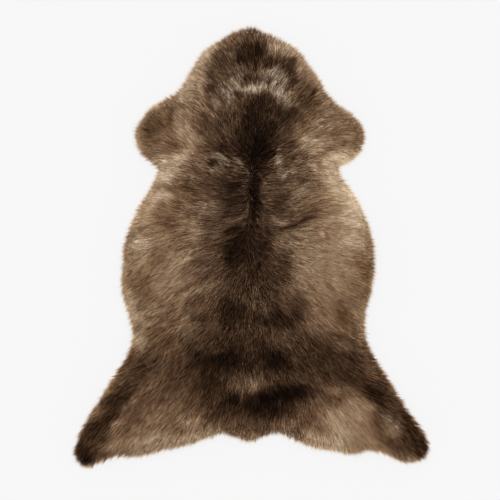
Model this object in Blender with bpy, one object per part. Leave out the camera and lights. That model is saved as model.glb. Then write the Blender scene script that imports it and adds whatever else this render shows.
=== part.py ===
# A tanned sheepskin with its long wool on, lying flat with the wool up and the head end at +Y.
# It is one solid: a lumpy slab of wool with a flat underside, and pointed locks all round its rim.
# Metres, +Z up. The origin is on the surface that the skin lies on, half-way along its middle line.

import math
import random

import bmesh
import bpy
import numpy as np
from mathutils import Vector, noise
from mathutils.geometry import delaunay_2d_cdt

# The two long edges, from the head end to the hind legs: place along the skin, and how far the tips of
# the wool reach to the left and to the right of the middle line.
SIDE_EDGES = (
    # name, y, left, right
    ("crown", 0.500, -0.012, 0.008),
    ("crown shoulder", 0.491, -0.040, 0.028),
    ("brow", 0.473, -0.070, 0.070),
    ("temple", 0.445, -0.110, 0.110),
    ("cheek", 0.413, -0.131, 0.134),
    ("jaw", 0.381, -0.149, 0.156),
    ("neck", 0.354, -0.168, 0.171),
    ("flap root, upper", 0.329, -0.211, 0.194),
    ("flap, upper", 0.302, -0.243, 0.231),
    ("flap, outer", 0.272, -0.261, 0.254),
    ("flap tip", 0.245, -0.263, 0.259),
    ("flap, lower", 0.217, -0.250, 0.246),
    ("flap root, lower", 0.197, -0.230, 0.226),
    ("notch", 0.182, -0.211, 0.199),
    ("shoulder, upper", 0.158, -0.217, 0.207),
    ("shoulder", 0.120, -0.238, 0.234),
    ("ribs, upper", 0.074, -0.263, 0.258),
    ("ribs", 0.017, -0.286, 0.276),
    ("ribs, widest", -0.047, -0.293, 0.281),
    ("flank", -0.101, -0.293, 0.273),
    ("flank, lower", -0.147, -0.279, 0.261),
    ("waist", -0.197, -0.269, 0.260),
    ("haunch, upper", -0.238, -0.280, 0.275),
    ("haunch", -0.302, -0.319, 0.315),
    ("leg, upper", -0.370, -0.361, 0.357),
    ("leg, lower", -0.416, -0.388, 0.391),
    ("leg end", -0.450, -0.400, 0.404),
    ("leg corner", -0.474, -0.401, 0.398),
)

# The lower edge, from the left leg's end past the tail to the right leg's end.
TAIL_EDGE = (
    # name, x, y
    ("left leg end", -0.375, -0.500),
    ("left leg end, inner", -0.348, -0.491),
    ("left leg, under", -0.318, -0.477),
    ("left haunch, outer", -0.252, -0.474),
    ("left haunch", -0.200, -0.461),
    ("left haunch, inner", -0.138, -0.447),
    ("left scallop, outer", -0.088, -0.428),
    ("left scallop", -0.064, -0.423),
    ("tail, left", -0.031, -0.433),
    ("tail", 0.000, -0.440),
    ("tail, right", 0.027, -0.430),
    ("right scallop", 0.058, -0.422),
    ("right scallop, outer", 0.092, -0.433),
    ("right haunch, inner", 0.140, -0.454),
    ("right haunch", 0.193, -0.463),
    ("right haunch, outer", 0.236, -0.470),
    ("right leg, under", 0.265, -0.461),
    ("right leg, hollow", 0.304, -0.467),
    ("right leg end, inner", 0.331, -0.482),
    ("right leg end", 0.354, -0.489),
    ("right leg end, outer", 0.382, -0.484),
)

# Soft swells and hollows of the wool, each an oval with a smooth edge.
SWELLS = (
    # name, x, y, half length, half width, turn in degrees, rise
    ("brow ridge", 0.020, 0.388, 0.085, 0.030, 0.0, 0.006),
    ("crown hollow", -0.008, 0.452, 0.050, 0.026, 0.0, -0.004),
    ("neck hollow", 0.010, 0.262, 0.085, 0.070, 0.0, -0.007),
    ("left nape tuft", -0.060, 0.194, 0.034, 0.022, 30.0, 0.006),
    ("right nape tuft", 0.074, 0.192, 0.034, 0.024, -20.0, 0.006),
    ("spine parting", 0.011, 0.120, 0.085, 0.018, 90.0, -0.007),
    ("left shoulder", -0.150, 0.110, 0.080, 0.070, 0.0, 0.003),
    ("right shoulder", 0.165, 0.115, 0.070, 0.070, 0.0, 0.003),
    ("right shoulder crease", 0.098, 0.058, 0.070, 0.014, 17.0, -0.008),
    ("middle back hollow", -0.006, -0.003, 0.050, 0.038, 0.0, -0.005),
    ("left flank", -0.150, -0.060, 0.100, 0.060, -35.0, 0.004),
    ("right flank", 0.160, -0.050, 0.080, 0.070, 0.0, 0.004),
    ("left loin hollow", -0.086, -0.245, 0.060, 0.042, 0.0, -0.006),
    ("right loin hollow", 0.088, -0.252, 0.060, 0.036, 0.0, -0.006),
    ("rump ridge", -0.006, -0.300, 0.070, 0.020, 0.0, 0.006),
    ("rump crease", 0.085, -0.345, 0.085, 0.020, 20.0, -0.008),
    ("tail hollow", -0.010, -0.366, 0.060, 0.022, 0.0, -0.005),
    ("left haunch swell", -0.150, -0.392, 0.080, 0.045, 8.0, 0.005),
    ("right haunch swell", 0.205, -0.405, 0.075, 0.048, -12.0, 0.006),
    ("left leg fold", -0.290, -0.370, 0.120, 0.022, 52.0, -0.005),
    ("right leg fold", 0.285, -0.330, 0.090, 0.022, -40.0, -0.005),
)

PILE_HEIGHT = 0.039  # of the combed-down wool over the middle of the skin
SHOULDER_HEIGHT = 0.030  # where the rounded edge ends
SHOULDER_WIDTH = 0.046  # of the rounded edge, seen from above
WALL_HEIGHT = 0.006  # at the roots of the rim's locks
MIDDLE_RISE_WIDTH = 0.090  # over which the wool climbs from the shoulder to the middle
LEAST_HEIGHT = 0.0045

# Uneven tufts all over, on top of the named swells
TUFTS = (
    # name, width, rise
    ("broad tufts", 0.058, 0.0034),
    ("small tufts", 0.031, 0.0024),
)

LOCK_COUNT = 284
LOCK_REACH = 0.0095  # average, from its root to its point
LOCK_REACH_SPREAD = 0.0035
LOCK_PLACE_SPREAD = 0.20  # of the pitch, by which a lock's edge is out of its even place
LOCK_LEAN = 0.30  # sideways for each metre outwards, the most that a run of locks leans
LOCK_POINT = 0.0012  # width and height of a lock's blunt point
ROOT_INSET = 0.0060  # from the wool's outline in to the locks' roots
LEAN_RUN = 0.028  # along the rim, over which the lean changes
CORNER_CLOSING = 0.60  # of the pitch, the most by which neighbours' points close up in an inward corner

RING_INSETS = (0.0055, 0.013, 0.0225)  # rows of points that round the edge, in from the roots
LATTICE_PITCH = 0.0146
LATTICE_INSET = 0.033
LEAST_SPACING = 0.5  # of the lattice pitch, between the points of one ring
RING_CLEARANCE = 0.9  # of its inset, the least that a ring's point keeps from the rim
FILL_INSIDE = 1  # the triangulation keeps only what lies inside the rim
WELD_DISTANCE = 1e-7
TUFT_START = Vector((3.7, 1.9, 0.4))  # where the tufts are read from the noise
SEED = 11

WOOL_COLOUR = (0.117, 0.075, 0.047, 1.0)
WOOL_ROUGHNESS = 0.85


def clear_scene():
    for old in list(bpy.data.objects):
        bpy.data.objects.remove(old, do_unlink=True)


def outline_corners():
    """The rim's points in order: down the left edge, along the tail edge, up the right edge."""
    left = [(row_left, y) for _, y, row_left, _ in SIDE_EDGES]
    right = [(row_right, y) for _, y, _, row_right in reversed(SIDE_EDGES)]
    return np.array(left + [(x, y) for _, x, y in TAIL_EDGE] + right)


def smooth_loop(corners, steps_per_span=12):
    """A closed Catmull-Rom curve, spaced by the root of each chord so that it makes no loops."""
    count = len(corners)
    curve = []
    for i in range(count):
        p0, p1, p2, p3 = (corners[(i + k - 1) % count] for k in range(4))
        t1 = math.sqrt(np.linalg.norm(p1 - p0))
        t2 = t1 + math.sqrt(np.linalg.norm(p2 - p1))
        t3 = t2 + math.sqrt(np.linalg.norm(p3 - p2))
        for t in np.linspace(t1, t2, steps_per_span, endpoint=False):
            a1 = (t1 - t) / t1 * p0 + t / t1 * p1
            a2 = (t2 - t) / (t2 - t1) * p1 + (t - t1) / (t2 - t1) * p2
            a3 = (t3 - t) / (t3 - t2) * p2 + (t - t2) / (t3 - t2) * p3
            b1 = (t2 - t) / t2 * a1 + t / t2 * a2
            b2 = (t3 - t) / (t3 - t1) * a2 + (t - t1) / (t3 - t1) * a3
            curve.append((t2 - t) / (t2 - t1) * b1 + (t - t1) / (t2 - t1) * b2)
    return np.array(curve)


def stepped_loop(curve, count, chance):
    """The same closed curve in nearly equal steps."""
    closed = np.vstack([curve, curve[:1]])
    along = np.concatenate([[0.0], np.cumsum(np.linalg.norm(np.diff(closed, axis=0), axis=1))])
    steps = [i + LOCK_PLACE_SPREAD * chance.uniform(-1.0, 1.0) for i in range(count)]
    wanted = (np.array(steps) + 0.5) * along[-1] / count
    return np.column_stack([np.interp(wanted, along, closed[:, k]) for k in (0, 1)])


def outward_normals(loop):
    """The loop runs anticlockwise, so its outside is to the right of the way it runs."""
    way = np.roll(loop, -1, axis=0) - np.roll(loop, 1, axis=0)
    way /= np.linalg.norm(way, axis=1)[:, None]
    return np.column_stack([way[:, 1], -way[:, 0]])


def distance_to_loop(points, loop):
    ends = np.roll(loop, -1, axis=0)
    way = ends - loop
    share = ((points[:, None] - loop) * way).sum(axis=2) / (way**2).sum(axis=1)
    nearest = loop + np.clip(share, 0.0, 1.0)[..., None] * way
    return np.linalg.norm(points[:, None] - nearest, axis=2).min(axis=1)


def inside_loop(points, loop):
    """Even-odd rule: a ray towards +X crosses the rim an odd number of times from inside."""
    ends = np.roll(loop, -1, axis=0)
    x, y = points[:, 0][:, None], points[:, 1][:, None]
    straddles = (loop[:, 1] > y) != (ends[:, 1] > y)
    rise = np.where(ends[:, 1] == loop[:, 1], 1.0, ends[:, 1] - loop[:, 1])
    crossing = loop[:, 0] + (y - loop[:, 1]) / rise * (ends[:, 0] - loop[:, 0])
    return (straddles & (x < crossing)).sum(axis=1) % 2 == 1


def ring_points(roots, inset):
    """A row of points inside the rim, without those that a narrow place would crowd."""
    ring = roots - outward_normals(roots) * inset
    clear = distance_to_loop(ring, roots) > inset * RING_CLEARANCE
    least = LATTICE_PITCH * LEAST_SPACING
    kept = []
    for point, is_clear in zip(ring, clear):
        if is_clear and all(np.linalg.norm(point - other) > least for other in kept):
            kept.append(point)
    return kept


def lattice_points(roots):
    """A triangular lattice over the middle of the skin."""
    low, high = roots.min(axis=0), roots.max(axis=0)
    row_pitch = LATTICE_PITCH * math.sqrt(3.0) / 2.0
    rows = np.arange(low[1], high[1], row_pitch)
    points = [
        (x, y)
        for i, y in enumerate(rows)
        for x in np.arange(low[0] + (i % 2) * LATTICE_PITCH / 2.0, high[0], LATTICE_PITCH)
    ]
    points = np.array(points)
    keep = inside_loop(points, roots) & (distance_to_loop(points, roots) > LATTICE_INSET)
    return points[keep]


def swell_height(x, y):
    total = 0.0
    for _, centre_x, centre_y, half_length, half_width, turn, rise in SWELLS:
        turned = math.radians(turn)
        along = (x - centre_x) * math.cos(turned) + (y - centre_y) * math.sin(turned)
        across = (y - centre_y) * math.cos(turned) - (x - centre_x) * math.sin(turned)
        total += rise * math.exp(-((along / half_length) ** 2) - (across / half_width) ** 2)
    return total


def pile_height(x, y, inset):
    """Height of the wool's top, from how far in from the locks' roots it is."""
    edge = min(inset / SHOULDER_WIDTH, 1.0)
    height = WALL_HEIGHT + (SHOULDER_HEIGHT - WALL_HEIGHT) * math.sqrt(1.0 - (1.0 - edge) ** 2)
    further = max(inset - SHOULDER_WIDTH, 0.0)
    height += (PILE_HEIGHT - SHOULDER_HEIGHT) * (1.0 - math.exp(-further / MIDDLE_RISE_WIDTH))
    place = Vector((x, y, 0.0))
    tufts = sum(rise * noise.noise(place / width + TUFT_START) for _, width, rise in TUFTS)
    return max(height + edge * (swell_height(x, y) + tufts), LEAST_HEIGHT)


def triangles_between(points, rim_count):
    """Fills the rim, which is the first of the points, in an order that depends on the points alone."""
    places = [Vector(point) for point in points]
    rim = list(range(rim_count))
    filled = delaunay_2d_cdt(places, [], [rim], FILL_INSIDE, WELD_DISTANCE)
    triangles, origins = filled[2], filled[3]
    named = [[origins[i][0] for i in triangle] for triangle in triangles]
    return sorted(t[t.index(min(t)):] + t[:t.index(min(t))] for t in named)


def slab_top(roots):
    """The wool's upper surface, from the rim's roots over the rounded edge to the middle."""
    points = list(roots)
    for inset in RING_INSETS:
        points += ring_points(roots, inset)
    points += list(lattice_points(roots))
    insets = distance_to_loop(np.array(points), roots)
    bm = bmesh.new()
    for (x, y), inset in zip(points, insets):
        bm.verts.new((x, y, pile_height(x, y, inset)))
    bm.verts.ensure_lookup_table()
    for triangle in triangles_between(points, len(roots)):
        bm.faces.new([bm.verts[i] for i in triangle])
    return bm


def close_underside(bm, rim_count):
    """Drops a wall from the rim to the floor and fills the flat underside. Returns the wall's faces."""
    rim = [bm.verts[i] for i in range(rim_count)]
    foot = [bm.verts.new((vert.co.x, vert.co.y, 0.0)) for vert in rim]
    wall = []
    for i in range(rim_count):
        following = (i + 1) % rim_count
        wall.append(bm.faces.new((rim[i], foot[i], foot[following], rim[following])))
    underside = bm.faces.new(list(reversed(foot)))
    bm.normal_update()
    bmesh.ops.triangulate(bm, faces=[underside], ngon_method="BEAUTY")
    return wall


def rim_turn(wall, i):
    """How sharply the rim turns at a wall face, in radians: above zero where it turns inwards."""
    face = wall[i]
    turns = []
    for other in (wall[i - 1], wall[(i + 1) % len(wall)]):
        way = other.calc_center_median() - face.calc_center_median()
        turns.append(face.normal.dot(way.normalized()))
    return 2.0 * math.asin(max(-1.0, min(1.0, max(turns))))


def draw_locks(bm, wall, chance):
    """Draws each wall face out to a blunt point that lies level on the floor."""
    plans = []
    for i, face in enumerate(wall):
        outward = Vector((face.normal.x, face.normal.y, 0.0)).normalized()
        middle = face.calc_center_median()
        pitch = max((a.co - b.co).xy.length for a in face.verts for b in face.verts)
        lean = LOCK_LEAN * noise.noise(Vector((middle.x, middle.y, 0.0)) / LEAN_RUN)
        reach = LOCK_REACH + LOCK_REACH_SPREAD * chance.uniform(-1.0, 1.0)
        turn = rim_turn(wall, i)
        if turn > 0.0:
            reach = min(reach, CORNER_CLOSING * pitch / (2.0 * math.sin(turn / 2.0)))
        plans.append((outward, lean, reach))
    drawn = bmesh.ops.extrude_discrete_faces(bm, faces=wall)["faces"]
    for face, (outward, lean, reach) in zip(drawn, plans):
        aside = Vector((-outward.y, outward.x, 0.0))
        middle = face.calc_center_median()
        point = Vector((middle.x, middle.y, 0.0)) + (outward + aside * lean) * reach
        for vert in face.verts:
            side = math.copysign(LOCK_POINT / 2.0, (vert.co - middle).dot(aside))
            height = LOCK_POINT if vert.co.z > 0.0 else 0.0
            vert.co = point + aside * side + Vector((0.0, 0.0, height))


def wool_material():
    material = bpy.data.materials.new("umber wool")
    material.use_nodes = True
    shader = material.node_tree.nodes["Principled BSDF"]
    shader.inputs["Base Color"].default_value = WOOL_COLOUR
    shader.inputs["Roughness"].default_value = WOOL_ROUGHNESS
    shader.inputs["Metallic"].default_value = 0.0
    return material


def make_pelt(collection):
    chance = random.Random(SEED)
    outline = smooth_loop(outline_corners())
    inner = outline - outward_normals(outline) * ROOT_INSET
    roots = stepped_loop(inner, LOCK_COUNT, chance)
    bm = slab_top(roots)
    wall = close_underside(bm, len(roots))
    draw_locks(bm, wall, chance)
    bmesh.ops.recalc_face_normals(bm, faces=bm.faces)
    mesh = bpy.data.meshes.new("pelt")
    bm.to_mesh(mesh)
    bm.free()
    mesh.shade_smooth()
    mesh.materials.append(wool_material())
    pelt = bpy.data.objects.new("pelt", mesh)
    collection.objects.link(pelt)


def main():
    clear_scene()
    collection = bpy.data.collections.new("sheepskin")
    bpy.context.scene.collection.children.link(collection)
    make_pelt(collection)


main()
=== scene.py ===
import math

import bmesh
import bpy
import numpy as np
from mathutils.bvhtree import BVHTree
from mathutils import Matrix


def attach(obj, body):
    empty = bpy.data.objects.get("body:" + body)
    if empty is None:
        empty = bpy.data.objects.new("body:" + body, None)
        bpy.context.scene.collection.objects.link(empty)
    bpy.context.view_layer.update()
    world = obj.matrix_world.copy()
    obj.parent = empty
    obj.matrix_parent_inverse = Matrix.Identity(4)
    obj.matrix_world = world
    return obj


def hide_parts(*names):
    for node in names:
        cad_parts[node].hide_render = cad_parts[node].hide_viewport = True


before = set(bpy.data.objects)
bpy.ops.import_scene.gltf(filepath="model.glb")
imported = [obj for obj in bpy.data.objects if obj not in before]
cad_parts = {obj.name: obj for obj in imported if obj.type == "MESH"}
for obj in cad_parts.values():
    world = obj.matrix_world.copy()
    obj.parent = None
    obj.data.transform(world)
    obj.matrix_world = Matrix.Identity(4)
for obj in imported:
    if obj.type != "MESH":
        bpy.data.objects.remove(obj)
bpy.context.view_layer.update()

# A tanned sheepskin with its long brown wool on, laid flat with the wool up and the head end at +Y.
# Metres. The hide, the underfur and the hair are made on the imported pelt, from its rim and its height.

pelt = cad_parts["pelt"]
tiny = 1e-9  # so that nothing is divided by zero


def toLinear(hexColour):
    values = [int(hexColour[i:i + 2], 16) / 255 for i in (1, 3, 5)]
    return [v / 12.92 if v <= 0.04045 else ((v + 0.055) / 1.055) ** 2.4 for v in values] + [1.0]


def addNode(tree, kind, links=None, values=None, stops=None, **settings):
    node = tree.nodes.new(kind)
    for name, value in settings.items():
        setattr(node, name, value)
    for socket, value in (values or {}).items():
        node.inputs[socket].default_value = value
    for socket, source in (links or {}).items():
        tree.links.new(source, node.inputs[socket])
    for i, (place, hexColour) in enumerate(stops or ()):
        ramp = node.color_ramp.elements
        stop = ramp[i] if i < 2 else ramp.new(place)
        stop.position = place
        stop.color = toLinear(hexColour)
    return node


def newMaterial(name):
    material = bpy.data.materials.new(name)
    material.use_nodes = True
    material.node_tree.nodes.clear()
    return material, material.node_tree


def newPiece(name, mesh, material):
    piece = bpy.data.objects.new(name, mesh)
    bpy.context.scene.collection.objects.link(piece)
    mesh.materials.append(material)
    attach(piece, "root")
    print("made", name, "with", len(mesh.polygons), "faces")
    return piece


def setValues(mesh, label, values):  # one for each point of the mesh
    data = mesh.attributes.new(label, "FLOAT", "POINT").data
    data.foreach_set("value", values.astype(np.float32).ravel())


def walkEdge(bm):  # the points round a mesh's open edge, in order
    edge = [e for e in bm.edges if e.is_boundary]
    start = min((v for e in edge for v in e.verts), key=lambda v: tuple(v.co))
    ring, before, now = [], None, start
    while now is not start or not ring:
        ring.append(now)
        ways = [e.other_vert(now) for e in now.link_edges if e.is_boundary]
        ways = sorted((v for v in ways if v is not before), key=lambda v: tuple(v.co))
        before, now = now, ways[0]
    return ring


def areaInside(loop):  # above zero where the loop runs anticlockwise
    ends = np.roll(loop, -1, axis=0)
    return (loop[:, 0] * ends[:, 1] - loop[:, 1] * ends[:, 0]).sum() / 2


# The rim: where the roots of the outermost wool stand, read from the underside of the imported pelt
underside = {
    "highest": 0.0002,
    "joins": 0.0015,  # corners nearer than this; a lock's point is a pair, 1.2 mm apart
}


def readRim():
    bm = bmesh.new()
    bm.from_mesh(pelt.data)
    above = [v for v in bm.verts if v.co.z > underside["highest"]]
    bmesh.ops.delete(bm, geom=above, context="VERTS")
    bmesh.ops.remove_doubles(bm, verts=bm.verts, dist=underside["joins"])
    points = [v for v in bm.verts if len(v.link_edges) == 2]
    bmesh.ops.delete(bm, geom=points, context="VERTS")
    loop = np.array([tuple(v.co.xy) for v in walkEdge(bm)])
    bm.free()
    return loop if areaInside(loop) > 0 else loop[::-1]  # anticlockwise


rim = readRim()
print("rim of", len(rim), "points round", round(areaInside(rim), 4), "square metres")

# The ground plan: a grid over the pelt that holds how far in from the rim a place is, and how high the wool
# stands there
plan = {
    "step": 0.0025,
    "margin": 0.045,  # round the rim
    "above": 0.2,  # the height from which it looks down on the pelt
    "blurs": 3,
    "steepest": 1.2,  # slope of the pile, for how light falls on it
}
planLow = rim.min(axis=0) - plan["margin"]
planCounts = np.ceil((rim.max(axis=0) + plan["margin"] - planLow) / plan["step"]).astype(int)
planX = planLow[0] + plan["step"] * np.arange(planCounts[0])
planY = planLow[1] + plan["step"] * np.arange(planCounts[1])


def insetRow(y):
    ends = np.roll(rim, -1, axis=0)
    way = ends - rim
    places = np.column_stack([planX, np.full(len(planX), y)])[:, None]
    share = ((places - rim) * way).sum(axis=2) / (way**2).sum(axis=1)
    nearest = rim + np.clip(share, 0, 1)[..., None] * way
    away = np.linalg.norm(places - nearest, axis=2).min(axis=1)
    straddles = (rim[:, 1] > y) != (ends[:, 1] > y)
    rise = np.where(way[:, 1] == 0, 1, way[:, 1])
    crossing = rim[:, 0] + (y - rim[:, 1]) / rise * way[:, 0]
    inside = (straddles & (planX[:, None] < crossing)).sum(axis=1) % 2 == 1
    return np.where(inside, away, -away)


def readHeights():
    mesh = pelt.data
    tree = BVHTree.FromPolygons([v.co for v in mesh.vertices], [p.vertices for p in mesh.polygons])
    heights = np.zeros((len(planY), len(planX)))
    for row, y in enumerate(planY):
        for column, x in enumerate(planX):
            hit = tree.ray_cast((x, y, plan["above"]), (0, 0, -1))[0]
            heights[row, column] = hit.z if hit else 0.0
    return heights


def blurred(values, times):
    for _ in range(times):
        for axis in (0, 1):
            values = (np.roll(values, 1, axis) + 2 * values + np.roll(values, -1, axis)) / 4
    return values


def read(values, places):  # the plan's value at each place, between its four nearest points
    at = np.clip((places - planLow) / plan["step"], 0, planCounts - 1.001)  # just inside the last row
    low = at.astype(int)
    (column, row), (u, v) = low.T, (at - low).T
    lower = values[row, column] * (1 - u) + values[row, column + 1] * u
    upper = values[row + 1, column] * (1 - u) + values[row + 1, column + 1] * u
    return lower * (1 - v) + upper * v


def readSlope(slope, places):  # the same for a slope, along x and along y
    return np.column_stack([read(values, places) for values in slope])


insets = np.array([insetRow(y) for y in planY])
heights = blurred(readHeights(), plan["blurs"])
inwardSlope = np.gradient(blurred(insets, 2 * plan["blurs"]), plan["step"])[::-1]
print("plan of", planCounts[0], "by", planCounts[1], "places, wool up to", round(heights.max(), 4), "m high")


def nearRim(places, width):  # 1 at the rim, and less inwards over that width
    return np.exp(-np.clip(read(insets, places), 0, 1) / width)


# Smooth random values with a spread of about 1, which change over a width
noise = {
    "knots": 64,  # each way, after which the values repeat
    "strength": 1.5,
    "start": -2.0,  # well outside the pelt
}


def softNoise(places, width, seed):
    count = noise["knots"]
    knots = np.random.default_rng(seed).normal(size=(count, count)) * noise["strength"]
    at = (places - noise["start"]) / width
    low = np.floor(at).astype(int)
    u, v = ((at - low) ** 2 * (3 - 2 * (at - low))).T
    (i, j), (i1, j1) = low.T % count, (low.T + 1) % count
    return ((knots[i, j] * (1 - u) + knots[i1, j] * u) * (1 - v)
            + (knots[i, j1] * (1 - u) + knots[i1, j1] * u) * v)


# How the wool is combed. It fans out from the neck over the head and flaps, parts along the spine, and
# runs down and outwards over the flanks and legs. Each row is x, y and a direction in degrees from +X.
comb = {
    "spread": 0.030,  # over which a place's direction holds
    "rimPull": 0.30,  # towards straight out, at the rim
    "rimWidth": 0.020,
    "swirl": 4.0,  # degrees of uneven combing, over swirlWidth
    "swirlWidth": 0.030,
    "swirlSeed": 5,
    # The parting along the spine, where the wool on each side lies away from it
    "parting": {"x": 0.008, "low": 0.045, "high": 0.225, "fade": 0.040, "width": 0.018, "pull": 0.5,
                "bend": 0.0015, "bendWidth": 0.035, "bendSeed": 6},
    "places": {
        "crown": (
            (-0.060, 0.455, 130), (-0.025, 0.460, 120), (0.000, 0.455, 92), (0.030, 0.455, 68),
            (0.070, 0.445, 52), (-0.115, 0.430, 138), (-0.080, 0.410, 132), (-0.025, 0.410, 120),
            (0.010, 0.410, 92), (0.060, 0.395, 55), (0.110, 0.415, 40)),
        "brow": (
            (-0.130, 0.385, 152), (-0.060, 0.370, 128), (-0.025, 0.370, 122), (0.010, 0.360, 90),
            (0.030, 0.370, 66), (0.135, 0.370, 42), (-0.140, 0.335, 152), (-0.100, 0.345, 147),
            (-0.080, 0.315, 128), (-0.045, 0.335, 114), (0.025, 0.325, 76), (0.065, 0.350, 56),
            (0.110, 0.335, 45)),
        "neck": (
            (-0.150, 0.310, 135), (-0.115, 0.270, 131), (-0.050, 0.280, 115), (0.010, 0.280, 90),
            (0.065, 0.280, 62), (0.110, 0.280, 42), (-0.105, 0.225, 148), (-0.035, 0.230, 145),
            (0.010, 0.255, 90), (0.055, 0.225, 26)),
        "flap, left": (
            (-0.230, 0.325, 145), (-0.195, 0.325, 130), (-0.175, 0.280, 138), (-0.205, 0.290, 142),
            (-0.240, 0.280, 168), (-0.255, 0.255, 182), (-0.225, 0.235, 178), (-0.225, 0.205, 200),
            (-0.175, 0.225, 153), (-0.150, 0.195, 157), (-0.195, 0.185, 180)),
        "flap, right": (
            (0.155, 0.315, 22), (0.190, 0.315, 17), (0.150, 0.285, 36), (0.210, 0.295, 12),
            (0.230, 0.265, 13), (0.155, 0.250, 20), (0.205, 0.235, 6), (0.135, 0.230, 8),
            (0.180, 0.220, -8), (0.215, 0.210, -18), (0.195, 0.195, -28), (0.155, 0.190, -8)),
        "nape": (
            (-0.070, 0.205, 145), (-0.095, 0.165, 150), (-0.130, 0.190, 158), (-0.030, 0.190, 170),
            (-0.030, 0.155, 183), (0.035, 0.190, 14), (0.075, 0.205, 30), (0.090, 0.190, 20),
            (0.080, 0.160, 2), (0.055, 0.145, 2), (0.030, 0.150, -8)),
        "upper back, left": (
            (-0.160, 0.155, 167), (-0.205, 0.145, 168), (-0.180, 0.125, 156), (-0.230, 0.120, 170),
            (-0.140, 0.100, 173), (-0.080, 0.110, 172), (-0.030, 0.110, 188), (-0.195, 0.075, 179),
            (-0.240, 0.075, 182), (-0.255, 0.050, 193), (-0.230, 0.040, 193), (-0.175, 0.020, 197),
            (-0.130, 0.030, 183), (-0.080, 0.030, 184), (-0.035, 0.060, 198), (-0.080, 0.070, 176)),
        "upper back, right": (
            (0.180, 0.160, -3), (0.215, 0.145, -3), (0.030, 0.110, -14), (0.030, 0.075, -24),
            (0.060, 0.100, 2), (0.090, 0.110, 14), (0.110, 0.130, 22), (0.170, 0.100, -3),
            (0.225, 0.080, 5), (0.145, 0.075, 20), (0.130, 0.045, 16), (0.170, 0.045, -10),
            (0.190, 0.030, -8), (0.250, 0.020, -3), (0.065, 0.005, -17), (0.030, 0.000, -45)),
        "ribs and flank, left": (
            (-0.275, 0.020, 197), (-0.230, 0.010, 205), (-0.130, -0.005, 208), (-0.205, -0.005, 212),
            (-0.175, -0.050, 215), (-0.060, -0.035, 215), (-0.255, -0.075, 210), (-0.140, -0.095, 220),
            (-0.230, -0.130, 216), (-0.115, -0.140, 230), (-0.070, -0.085, 235), (-0.265, -0.155, 212),
            (-0.230, -0.175, 215), (-0.195, -0.165, 212), (-0.160, -0.175, 226), (-0.255, -0.220, 217),
            (-0.185, -0.230, 220), (-0.150, -0.245, 234)),
        "ribs and flank, right": (
            (0.145, 0.005, -25), (0.180, 0.005, -20), (0.205, -0.005, -15), (0.225, -0.030, -12),
            (0.260, -0.015, -5), (0.110, -0.030, -15), (0.180, -0.025, -15), (0.095, -0.080, -32),
            (0.135, -0.105, -31), (0.180, -0.120, -35), (0.215, -0.120, -35), (0.250, -0.095, -30),
            (0.110, -0.155, -45), (0.155, -0.165, -40), (0.215, -0.200, -37), (0.250, -0.220, -24),
            (0.145, -0.200, -48), (0.180, -0.230, -52)),
        "middle back and loin": (
            (-0.015, -0.040, 232), (-0.015, -0.095, 242), (0.015, -0.075, -60), (0.030, -0.105, -54),
            (0.055, -0.135, -54), (-0.060, -0.140, 242), (0.000, -0.165, 266), (0.020, -0.200, -76),
            (0.055, -0.200, -68), (-0.115, -0.165, 228), (-0.080, -0.200, 237), (-0.050, -0.210, 246),
            (-0.015, -0.210, 265), (0.010, -0.240, 272), (-0.095, -0.255, 236), (0.110, -0.240, -58),
            (-0.040, -0.260, 255), (0.055, -0.255, -68)),
        "rump": (
            (-0.095, -0.300, 238), (-0.060, -0.310, 256), (-0.015, -0.300, 267), (0.030, -0.300, -80),
            (0.055, -0.295, -68), (0.080, -0.290, -60), (-0.080, -0.345, 248), (-0.025, -0.345, 260),
            (0.000, -0.370, 252), (0.045, -0.375, 247), (-0.025, -0.395, 238), (0.045, -0.410, 255),
            (0.070, -0.410, 266), (0.100, -0.405, -80), (0.110, -0.365, -70), (-0.060, -0.405, 260)),
        "haunch, left": (
            (-0.130, -0.280, 242), (-0.200, -0.290, 220), (-0.255, -0.300, 212), (-0.275, -0.330, 209),
            (-0.160, -0.310, 227), (-0.185, -0.335, 227), (-0.255, -0.345, 219)),
        "haunch, right": (
            (0.190, -0.265, -44), (0.225, -0.255, -40), (0.265, -0.255, -18), (0.135, -0.300, -50),
            (0.170, -0.310, -46), (0.215, -0.310, -28), (0.255, -0.320, -27), (0.295, -0.310, -20)),
        "leg, left": (
            (-0.320, -0.335, 217), (-0.230, -0.370, 227), (-0.300, -0.380, 226), (-0.345, -0.435, 227),
            (-0.300, -0.425, 230), (-0.265, -0.415, 231), (-0.225, -0.415, 236), (-0.255, -0.450, 238),
            (-0.380, -0.460, 229), (-0.390, -0.485, 235), (-0.175, -0.370, 230), (-0.140, -0.360, 231),
            (-0.195, -0.425, 235), (-0.140, -0.405, 238), (-0.105, -0.405, 247), (-0.080, -0.390, 252)),
        "leg, right": (
            (0.135, -0.360, -66), (0.170, -0.370, -58), (0.205, -0.360, -52), (0.235, -0.375, -47),
            (0.265, -0.370, -40), (0.160, -0.440, -77), (0.190, -0.415, -63), (0.215, -0.445, -60),
            (0.260, -0.415, -49), (0.280, -0.445, -57), (0.305, -0.370, -34), (0.330, -0.355, -22),
            (0.340, -0.390, -42), (0.325, -0.415, -50), (0.350, -0.435, -48), (0.385, -0.435, -36),
            (0.375, -0.465, -50), (0.340, -0.465, -56)),
    },
}
combRows = [row for rows in comb["places"].values() for row in rows]


def turned(ways, angles):
    c, s = np.cos(angles), np.sin(angles)
    return np.column_stack([ways[:, 0] * c - ways[:, 1] * s, ways[:, 0] * s + ways[:, 1] * c])


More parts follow.
